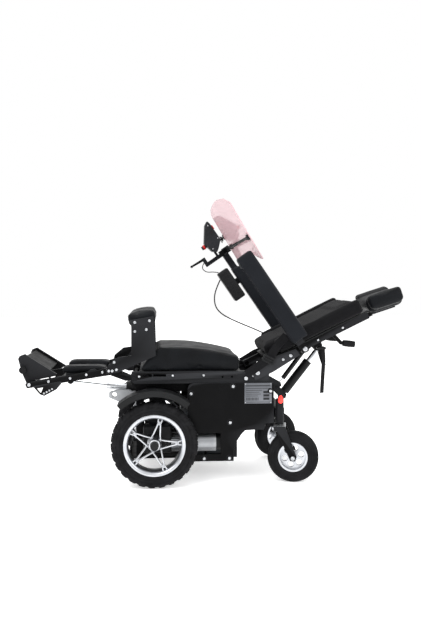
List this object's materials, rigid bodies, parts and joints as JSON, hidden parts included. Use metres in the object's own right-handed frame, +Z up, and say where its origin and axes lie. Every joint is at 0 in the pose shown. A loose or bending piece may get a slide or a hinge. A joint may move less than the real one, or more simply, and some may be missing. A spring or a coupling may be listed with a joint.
{
  "type": "power wheelchair",
  "caption": "Powered wheelchair with reclining back, raising leg rest, knee supports, swing-away tray and joystick, shown lying flat.",
  "frame": {"origin": "on the floor under the middle of the chair's outline", "axes": "+X towards the back, -X towards the feet, -Y the user's left side, +Z up"},
  "size_m": [1.6817, 0.664, 1.2102],
  "materials": {
    "frame_black": "satin powder coat",
    "panel_black": "semi-gloss",
    "cover_black": "moulded",
    "battery_grey": "matt",
    "module_grey": "black anodised",
    "bare_alloy": "machined",
    "motor_silver": "cast",
    "rim_silver": "cast and lacquered",
    "tyre_black": "matt rubber",
    "lamp_red": "clear red",
    "cable_black": "PVC sheath",
    "tube_silver": "anodised",
    "rod_steel": "ground",
    "vinyl_black": "soft PU cover",
    "fabric_black": "woven polyester",
    "webbing": "woven nylon",
    "buckle": "moulded",
    "pad_charcoal": "integral skin foam",
    "pod_grey": "moulded",
    "knob_black": "soft touch",
    "button_red": "moulded",
    "lever_black": "satin",
    "tray_clear": "clear acrylic with a light rose tint",
    "foot_grey": "textured",
    "grip_rubber": "ribbed",
    "roller_grey": "matt"
  },
  "bodies": {
    "base": {"chassis_frame": "frame_black", "battery_pack": "battery_grey", "power_module": "module_grey", "front_bracket": "bare_alloy", "marker_lights": "lamp_red", "side_panel_left": "panel_black", "side_panel_right": "panel_black", "motor_left": "motor_silver", "motor_right": "motor_silver", "fender_left": "cover_black", "fender_right": "cover_black"},
    "free_wheel_lever_left": {"release_lever_left": "lever_black"},
    "free_wheel_lever_right": {"release_lever_right": "lever_black"},
    "lift_barrel": {"lift_actuator": "cover_black"},
    "lift_ram": {"lift_rod": "rod_steel"},
    "leg_barrel": {"leg_actuator": "tube_silver"},
    "leg_ram": {"leg_rod": "rod_steel"},
    "recline_barrel": {"recline_actuator": "tube_silver"},
    "recline_ram": {"recline_rod": "rod_steel"},
    "gas_shaft": {"gas_spring_rod": "rod_steel"},
    "gas_tube": {"gas_spring_tube": "frame_black"},
    "drive_wheel_left": {"tyre_left": "tyre_black", "rim_left": "rim_silver"},
    "drive_wheel_right": {"tyre_right": "tyre_black", "rim_right": "rim_silver"},
    "caster_left": {"caster_fork_left": "frame_black"},
    "caster_right": {"caster_fork_right": "frame_black"},
    "caster_wheel_left": {"caster_tyre_left": "tyre_black", "caster_rim_left": "rim_silver"},
    "caster_wheel_right": {"caster_tyre_right": "tyre_black", "caster_rim_right": "rim_silver"},
    "seat": {"seat_frame": "frame_black", "seat_cushion": "vinyl_black", "seat_belt": "webbing", "belt_buckle": "buckle"},
    "backrest": {"back_frame": "frame_black", "back_shell": "cover_black", "back_cushion": "fabric_black", "back_bolsters": "fabric_black", "headrest_pad": "vinyl_black", "push_grips": "grip_rubber", "arm_frame_right": "frame_black", "arm_pad_right": "pad_charcoal", "control_cable": "cable_black", "latch_cable": "cable_black", "joystick_mount": "tube_silver", "control_box": "cover_black", "joystick_pod": "pod_grey"},
    "arm_left": {"arm_frame_left": "frame_black", "arm_pad_left": "pad_charcoal"},
    "joystick": {"joystick_knob": "knob_black"},
    "button": {"pod_button": "button_red"},
    "latch": {"latch_lever": "lever_black"},
    "tray": {"tray_bar": "frame_black", "tray_board": "tray_clear"},
    "leg_rest": {"leg_frame": "frame_black", "calf_pads": "vinyl_black", "knee_pads": "vinyl_black"},
    "foot_rest": {"footplate": "foot_grey"},
    "foot_rollers": {"foot_roller": "roller_grey"}
  },
  "joints": [
    {"name": "drive_left", "type": "hinge", "parent": "base", "child": "drive_wheel_left", "pos_m": [-0.267, -0.28, 0.18], "axis": [0, 1, 0], "continuous": true},
    {"name": "caster_swivel_left", "type": "hinge", "parent": "base", "child": "caster_left", "pos_m": [0.265, -0.21, 0.3], "axis": [0, 0, 1], "continuous": true},
    {"name": "caster_spin_left", "type": "hinge", "parent": "caster_left", "child": "caster_wheel_left", "pos_m": [0.32075, -0.22185, 0.108], "axis": [0.2079, 0.9781, 0], "continuous": true},
    {"name": "free_wheel_left", "type": "hinge", "parent": "base", "child": "free_wheel_lever_left", "pos_m": [0, -0.177, 0.212], "axis": [0, 0, 1], "range_deg": [0, 30]},
    {"name": "drive_right", "type": "hinge", "parent": "base", "child": "drive_wheel_right", "pos_m": [-0.267, 0.28, 0.18], "axis": [0, 1, 0], "continuous": true},
    {"name": "caster_swivel_right", "type": "hinge", "parent": "base", "child": "caster_right", "pos_m": [0.265, 0.21, 0.3], "axis": [0, 0, 1], "continuous": true},
    {"name": "caster_spin_right", "type": "hinge", "parent": "caster_right", "child": "caster_wheel_right", "pos_m": [0.31666, 0.23409, 0.108], "axis": [-0.4226, 0.9063, 0], "continuous": true},
    {"name": "free_wheel_right", "type": "hinge", "parent": "base", "child": "free_wheel_lever_right", "pos_m": [0, 0.177, 0.212], "axis": [0, 0, 1], "range_deg": [-30, 0]},
    {"name": "seat_lift", "type": "hinge", "parent": "base", "child": "seat", "pos_m": [-0.35, 0, 0.443], "axis": [0, -1, 0], "range_deg": [0, 34]},
    {"name": "recline", "type": "hinge", "parent": "seat", "child": "backrest", "pos_m": [0.168, 0, 0.464], "axis": [0, -1, 0], "range_deg": [0, 48]},
    {"name": "leg_lower", "type": "hinge", "parent": "base", "child": "leg_rest", "pos_m": [-0.35, 0, 0.443], "axis": [0, -1, 0], "range_deg": [0, 66]},
    {"name": "foot_hinge", "type": "hinge", "parent": "leg_rest", "child": "foot_rest", "pos_m": [-0.78992, 0, 0.41805], "axis": [0, -1, 0], "range_deg": [-30, 10]},
    {"name": "foot_roller_spin", "type": "hinge", "parent": "foot_rest", "child": "foot_rollers", "pos_m": [-0.81724, 0, 0.47837], "axis": [0, 1, 0], "continuous": true},
    {"name": "arm_flip", "type": "hinge", "parent": "backrest", "child": "arm_left", "pos_m": [0.3649, -0.244, 0.56671], "axis": [0, 1, 0], "range_deg": [0, 80]},
    {"name": "tray_swing", "type": "hinge", "parent": "backrest", "child": "tray", "pos_m": [0.08522, 0.22, 1.0071], "axis": [-0.5664, 0, 0.8241], "range_deg": [0, 84]},
    {"name": "joystick_tilt", "type": "hinge", "parent": "backrest", "child": "joystick", "pos_m": [0.04196, 0.265, 1.04532], "axis": [0, 1, 0], "range_deg": [-12, 12], "stiffness_Nm_per_rad": 0.05},
    {"name": "button_press", "type": "slide", "parent": "backrest", "child": "button", "axis": [-0.8241, 0, -0.5664], "range_m": [0, 0.0015], "stiffness_N_per_m": 800},
    {"name": "latch_pull", "type": "hinge", "parent": "backrest", "child": "latch", "pos_m": [-0.02887, 0.265, 0.95417], "axis": [0, 1, 0], "range_deg": [0, 20], "stiffness_Nm_per_rad": 0.2},
    {"name": "leg_actuator_swing", "type": "hinge", "parent": "base", "child": "leg_barrel", "pos_m": [-0.19, 0, 0.352], "axis": [0, -1, 0], "range_deg": [-0.2, 44.6]},
    {"name": "leg_actuator_stroke", "type": "slide", "parent": "leg_barrel", "child": "leg_ram", "axis": [-0.9926, 0, 0.1218], "range_m": [-0.14451, 0.0006]},
    {"name": "lift_actuator_swing", "type": "hinge", "parent": "base", "child": "lift_barrel", "pos_m": [0.1, -0.075, 0.34], "axis": [0, -1, 0], "range_deg": [-8.42, 0.2]},
    {"name": "lift_actuator_stroke", "type": "slide", "parent": "lift_barrel", "child": "lift_ram", "axis": [-0.9997, 0, 0.0256], "range_m": [-0.03744, 0.0006]},
    {"name": "recline_actuator_swing", "type": "hinge", "parent": "seat", "child": "recline_barrel", "pos_m": [0.3, -0.055, 0.346], "axis": [0, -1, 0], "range_deg": [-0.2, 38.19]},
    {"name": "recline_actuator_stroke", "type": "slide", "parent": "recline_barrel", "child": "recline_ram", "axis": [0.6139, 0, 0.7894], "range_m": [-0.0006, 0.13269]},
    {"name": "gas_spring_swing", "type": "hinge", "parent": "seat", "child": "gas_shaft", "pos_m": [0.274, -0.108, 0.398], "axis": [0, -1, 0], "range_deg": [-0.2, 41.68]},
    {"name": "gas_spring_stroke", "type": "slide", "parent": "gas_shaft", "child": "gas_tube", "axis": [0.6016, 0, 0.7988], "range_m": [-0.0006, 0.0979]}
  ],
  "couplings": [
    {"joint": "leg_actuator_swing", "follows": "leg_lower", "ratio": 0.67273},
    {"joint": "leg_actuator_stroke", "follows": "leg_lower", "m_per_rad": -0.12493},
    {"joint": "lift_actuator_swing", "follows": "seat_lift", "ratio": -0.24173},
    {"joint": "lift_actuator_stroke", "follows": "seat_lift", "m_per_rad": -0.062077},
    {"joint": "recline_actuator_swing", "follows": "recline", "ratio": 0.79144},
    {"joint": "recline_actuator_stroke", "follows": "recline", "m_per_rad": 0.15767},
    {"joint": "gas_spring_swing", "follows": "recline", "ratio": 0.86417},
    {"joint": "gas_spring_stroke", "follows": "recline", "m_per_rad": 0.11615}
  ]
}
